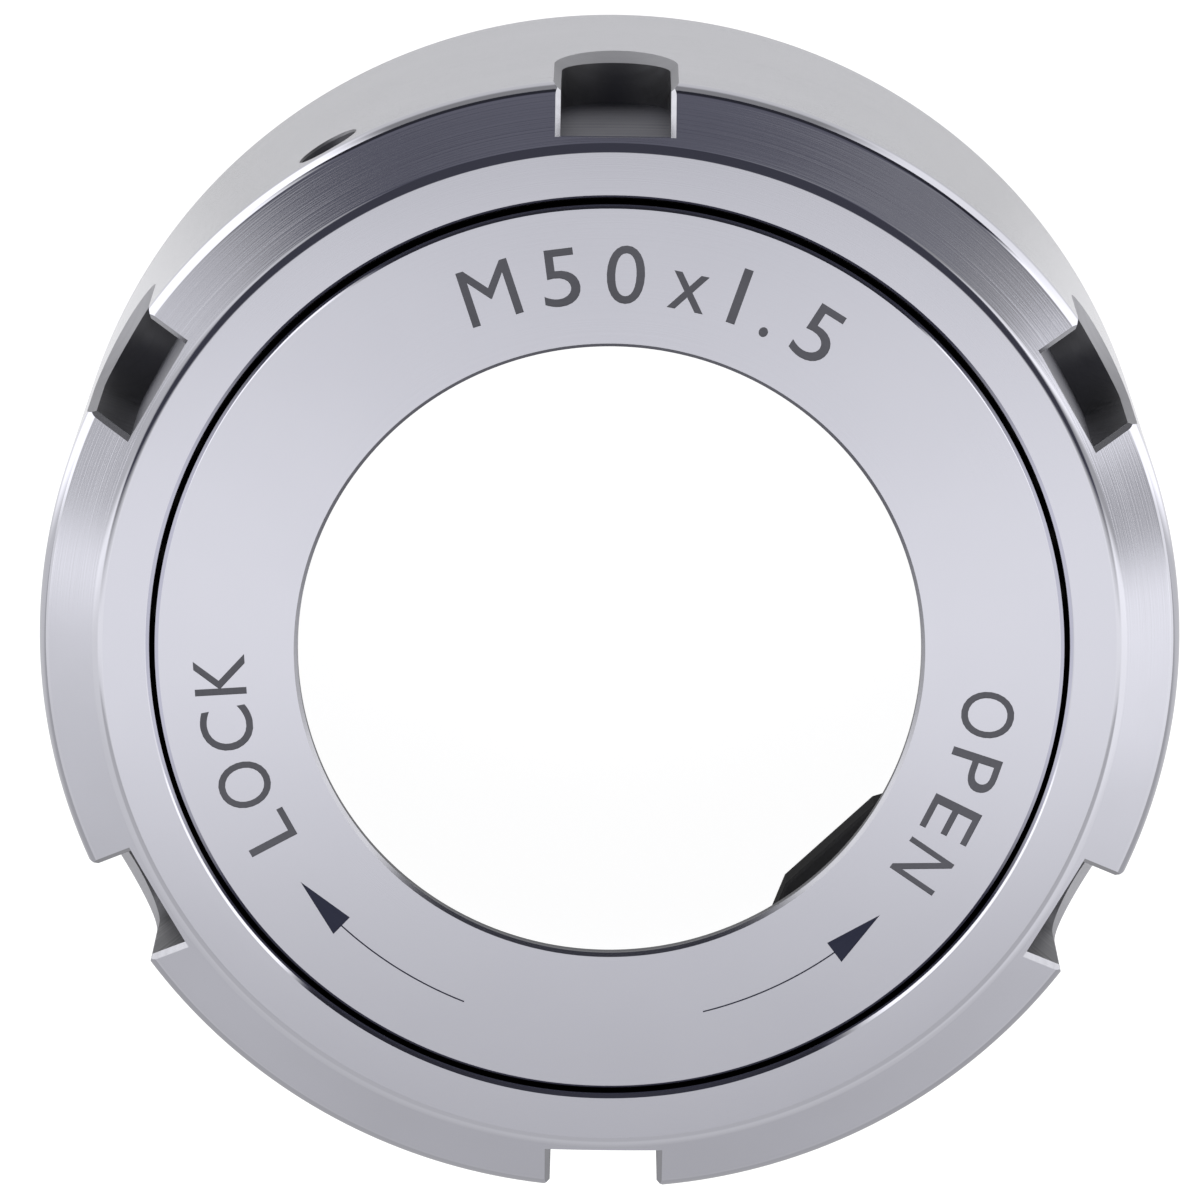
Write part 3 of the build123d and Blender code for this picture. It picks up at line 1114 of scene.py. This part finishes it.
seat_foot = body_height - FRONT_LIP - (CAVITY_RADIUS - FRONT_BORE_RADIUS) / tan(radians(SEAT_ANGLE))
ring_form = turned([
    (CAVITY_RADIUS, ring_rear),
    (ring_radius, ring_rear),
    *reversed(race_arc(ring_radius, -1)),
    (ring_radius, body_height),
    (FRONT_BORE_RADIUS, body_height),
    (FRONT_BORE_RADIUS, body_height - FRONT_LIP),
    (CAVITY_RADIUS, seat_foot),
])
break_edge(ring_form, CAVITY_RADIUS, ring_rear, RING_REAR_BREAK)
break_edge(ring_form, ring_radius, ring_rear, RING_REAR_BREAK)
break_edge(ring_form, ring_radius, body_height, RING_FRONT_BREAK)
break_edge(ring_form, FRONT_BORE_RADIUS, body_height, RING_BORE_BREAK, finish=BORE_EDGE)
# The ring's wall at the gap takes the painted shade
mark_wall(ring_form, ring_radius, RING_GAP_SHADE)
ring = new_piece("clamp_ring_marked", ring_form, ring_steel, polished_steel, gap_painted_shade, edge_steel)
print("turned ring", len(ring.data.polygons), "faces")

# %% Seat of the key
KEY_ANGLE = 313.6
KEY_DISC_RADIUS = 7.75
KEY_DISC_SEGMENTS = 128
KEY_OUTER_WALL = 2.0


def key_seat_cutter():
    """The disc that cuts the half-moon seat."""
    key_low, key_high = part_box("extractor_key")
    form = bmesh.new()
    centre = ring_radius - KEY_OUTER_WALL - KEY_DISC_RADIUS
    place = Matrix.Translation(Vector((0, centre * MM, (key_low.z + key_high.z) / 2)))
    bmesh.ops.create_cone(
        form, cap_ends=True, segments=KEY_DISC_SEGMENTS, radius1=KEY_DISC_RADIUS * MM,
        radius2=KEY_DISC_RADIUS * MM, depth=key_high.z - key_low.z, matrix=place,
    )
    around(form, form.verts, KEY_ANGLE)
    return new_piece("cutter", form, milled_steel)


cut(ring, key_seat_cutter())

# %% [markdown]
# The marks on the ring
#
# The ring carries the two plain words LOCK and OPEN with arrows that say which way to turn, and the size
# of the thread. They are engraved a few hundredths of a millimetre deep and burnt dark. An image could
# show them, but it would blur when seen close. Text is made in Blender as a curve and made a mesh. It is
# set on the ring letter by letter, because Blender's text on a curve would bend the letters themselves.
# Each letter is stretched to the width that the engraver's letters have, and the gaps between letters are
# equal.

# %% Letters
CAPITAL_SHARE = 0.682
CURVE_STEPS = 6

# Widths as shares of the height of a capital
LETTER_WIDTHS = {
    "L": 0.62, "O": 0.92, "C": 0.85, "K": 0.79, "P": 0.73, "E": 0.715, "N": 0.76,
    "M": 0.92, "5": 0.64, "0": 0.66, "x": 0.64, "1": 0.16, ".": 0.16,
}


def letter_mesh(letter, height):
    """One letter as a flat mesh, in a size at which a capital has this height in millimetres."""
    text = bpy.data.curves.new("letter", "FONT")
    text.body = letter
    text.size = height / CAPITAL_SHARE * MM
    text.resolution_u = CURVE_STEPS
    holder = bpy.data.objects.new("letter", text)
    bpy.context.scene.collection.objects.link(holder)
    graph = bpy.context.evaluated_depsgraph_get()
    mesh = bpy.data.meshes.new_from_object(holder.evaluated_get(graph))
    bpy.data.objects.remove(holder)
    return mesh


def drawn_letter(form, letter, height):
    """Adds a letter at the origin, centred and stretched to its own width, and returns its vertices."""
    mesh = letter_mesh(letter, height)
    before = set(form.verts)
    form.from_mesh(mesh)
    bpy.data.meshes.remove(mesh)
    verts = other_verts(form, before)
    left = min(vert.co.x for vert in verts)
    right = max(vert.co.x for vert in verts)
    bmesh.ops.translate(form, verts=verts, vec=(-(left + right) / 2, 0, 0))
    widen = LETTER_WIDTHS[letter] * height * MM / (right - left)
    bmesh.ops.scale(form, verts=verts, vec=(widen, 1, 1))
    return verts


print("letters with a width of their own", len(LETTER_WIDTHS))

# %% Words and arrows
ARROW_STEPS = 24


def word(form, letters, first_angle, last_angle, radius, height):
    """Sets a word on the ring's face clockwise between two angles, with equal gaps between its letters."""
    in_degrees = [degrees(LETTER_WIDTHS[letter] * height / (radius + height / 2)) for letter in letters]
    gap = (first_angle - last_angle - sum(in_degrees)) / (len(letters) - 1)
    angle = first_angle
    for letter, width in zip(letters, in_degrees):
        verts = drawn_letter(form, letter, height)
        bmesh.ops.translate(form, verts=verts, vec=(0, radius * MM, 0))
        around(form, verts, angle - width / 2)
        angle -= width + gap
    print(letters, "has gaps of", round(gap, 2), "degrees")


def arrow(form, tip_angle, tail_angle, end_angle, radius, head_width, line_width):
    """A curved arrow: a slim head from its tip to its tail, and a thin line behind it along the ring."""
    def point(angle, distance):
        return form.verts.new((distance * MM * cos(radians(angle)), distance * MM * sin(radians(angle)), 0))

    half_widths = (head_width / 2, line_width / 2, -line_width / 2, -head_width / 2)
    corners = [point(tail_angle, radius + half_width) for half_width in half_widths]
    form.faces.new([point(tip_angle, radius), *corners])
    line = form.edges.get(corners[1:3])
    bmesh.ops.spin(
        form, geom=[line, *line.verts], cent=(0, 0, 0), axis=(0, 0, 1), dvec=(0, 0, 0),
        angle=radians(end_angle - tail_angle), steps=ARROW_STEPS, use_merge=False,
    )


# %% Engraving
MARK_DEPTH = 0.03
JOINED_IN_LETTERS = TOLERANCE / 4
ARROW_LINE = 0.08


def into_the_face(form):
    """Gives flat shapes the depth of the engraving, sunk into the ring's face."""
    raised = verts_of(bmesh.ops.extrude_face_region(form, geom=form.faces[:])["geom"])
    below = other_verts(form, set(raised))
    bmesh.ops.translate(form, verts=raised, vec=(0, 0, (body_height + MARK_DEPTH) * MM))
    bmesh.ops.translate(form, verts=below, vec=(0, 0, (body_height - MARK_DEPTH) * MM))
    bmesh.ops.recalc_face_normals(form, faces=form.faces)


words_form = bmesh.new()
word(words_form, "LOCK", first_angle=211.3, last_angle=181.0, radius=20.05, height=2.85)
word(words_form, "OPEN", first_angle=354.7, last_angle=322.7, radius=19.68, height=2.86)
word(words_form, "M50x1.5", first_angle=112.5, last_angle=55.5, radius=19.6, height=3.15)
bmesh.ops.remove_doubles(words_form, verts=words_form.verts, dist=JOINED_IN_LETTERS)
into_the_face(words_form)
cut(ring, new_piece("cutter", words_form, laser_grey))

arrows_form = bmesh.new()
arrow(
    arrows_form, tip_angle=218.0, tail_angle=227.0, end_angle=248.6,
    radius=21.5, head_width=1.33, line_width=ARROW_LINE,
)
arrow(
    arrows_form, tip_angle=315.8, tail_angle=306.8, end_angle=284.9,
    radius=21.15, head_width=1.36, line_width=ARROW_LINE,
)
into_the_face(arrows_form)
cut(ring, new_piece("cutter", arrows_form, laser_blue))
smooth(ring)
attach(ring, "ring")
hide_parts("clamp_ring")
print("marked ring", len(ring.data.polygons), "faces")

# %% [markdown]
# Key, plug and balls
#
# These solids already have their right shape. They could be modelled again, as the nut and the ring were,
# but nothing would be gained, so they stay as they are and only get their finish, by putting the new
# material into the slot that they came with.

# %% Finish of the carried-over solids
MODELLED_AGAIN = ("nut_body", "clamp_ring")

finishes = {"extractor_key": key_black, "loading_plug": plug_steel}
carried_over = [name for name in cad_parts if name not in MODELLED_AGAIN]
# Every carried-over solid other than the key and the plug is a ball, and takes the painted-shade steel
for name in carried_over:
    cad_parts[name].material_slots[0].material = finishes.get(name, ball_steel)
print("carried over", len(carried_over), "solids")
